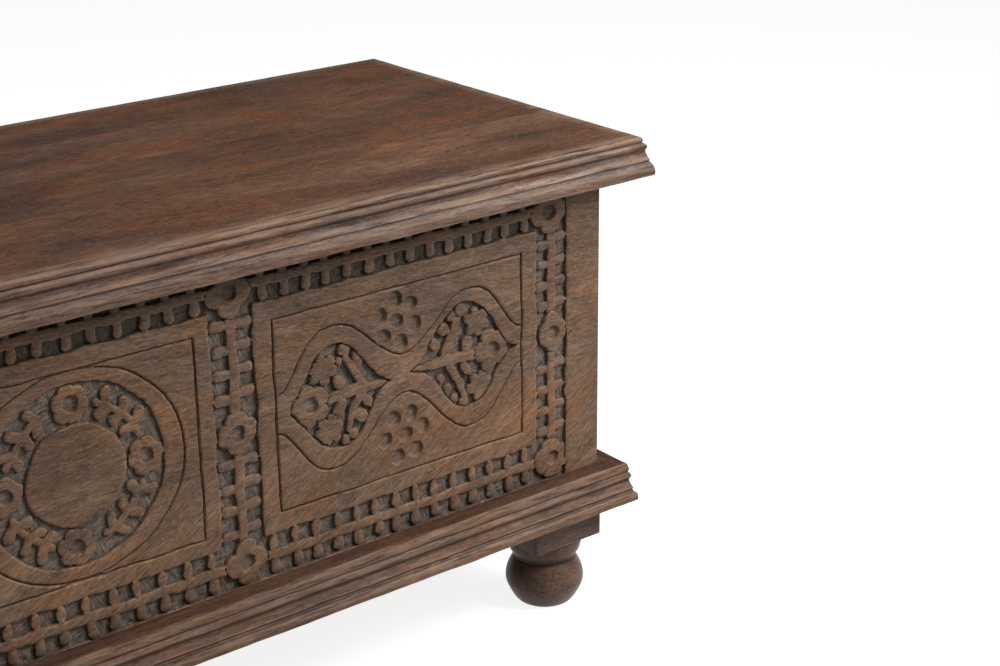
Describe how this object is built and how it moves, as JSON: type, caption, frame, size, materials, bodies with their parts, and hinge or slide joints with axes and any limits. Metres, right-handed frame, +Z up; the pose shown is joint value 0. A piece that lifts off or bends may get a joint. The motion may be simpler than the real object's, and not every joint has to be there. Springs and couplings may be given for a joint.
{
  "type": "storage chest",
  "caption": "Long carved wooden storage chest with a hinged moulded lid, carved flower and ribbon front panels, a moulded plinth and turned bun feet.",
  "frame": {"origin": "middle of the footprint on the floor", "axes": "+X along the length to the right, +Y to the back, +Z up"},
  "size_m": [1.1, 0.419, 0.4524],
  "materials": {
    "wood_lid": "satin stained hardwood, walnut brown",
    "wood_carved": "stained hardwood, hand carved, dull in the sunk ground",
    "wood_frame": "satin stained hardwood",
    "wood_plinth": "satin stained hardwood, red brown",
    "wood_foot": "dark stained turned hardwood",
    "wood_inside": "unstained sawn hardwood",
    "steel_hinge": "aged plated steel",
    "steel_bolt": "zinc plated"
  },
  "bodies": {
    "chest": {"back_panel": "wood_frame", "bottom_board_1": "wood_inside", "bottom_board_2": "wood_inside", "bottom_board_3": "wood_inside", "cleat_back": "wood_inside", "cleat_front": "wood_inside", "cleat_left": "wood_inside", "cleat_right": "wood_inside", "corner_block_back_left": "wood_inside", "corner_block_back_right": "wood_inside", "corner_block_front_left": "wood_inside", "corner_block_front_right": "wood_inside", "end_panel_left": "wood_frame", "end_panel_right": "wood_frame", "foot_back_left": "wood_foot", "foot_back_right": "wood_foot", "foot_bolt_back_left": "steel_bolt", "foot_bolt_back_right": "steel_bolt", "foot_bolt_front_left": "steel_bolt", "foot_bolt_front_right": "steel_bolt", "foot_front_left": "wood_foot", "foot_front_right": "wood_foot", "front_panel": "wood_carved", "hinge_body_leaf_left": "steel_hinge", "hinge_body_leaf_right": "steel_hinge", "hinge_pin_left": "steel_hinge", "hinge_pin_right": "steel_hinge", "plinth_back": "wood_plinth", "plinth_front": "wood_plinth", "plinth_left": "wood_plinth", "plinth_right": "wood_plinth"},
    "lid": {"hinge_lid_leaf_left": "steel_hinge", "hinge_lid_leaf_right": "steel_hinge", "lid_batten_left": "wood_inside", "lid_batten_middle": "wood_inside", "lid_batten_right": "wood_inside", "lid_board_1": "wood_lid", "lid_board_2": "wood_lid", "lid_board_3": "wood_lid", "lid_board_4": "wood_lid", "lid_rim_back": "wood_lid", "lid_rim_front": "wood_lid", "lid_rim_left": "wood_lid", "lid_rim_right": "wood_lid"}
  },
  "joints": [
    {"name": "lid_hinge", "type": "hinge", "parent": "chest", "child": "lid", "pos_m": [0, 0.179, 0.4133], "axis": [-1, 0, 0], "range_deg": [0, 100]}
  ]
}
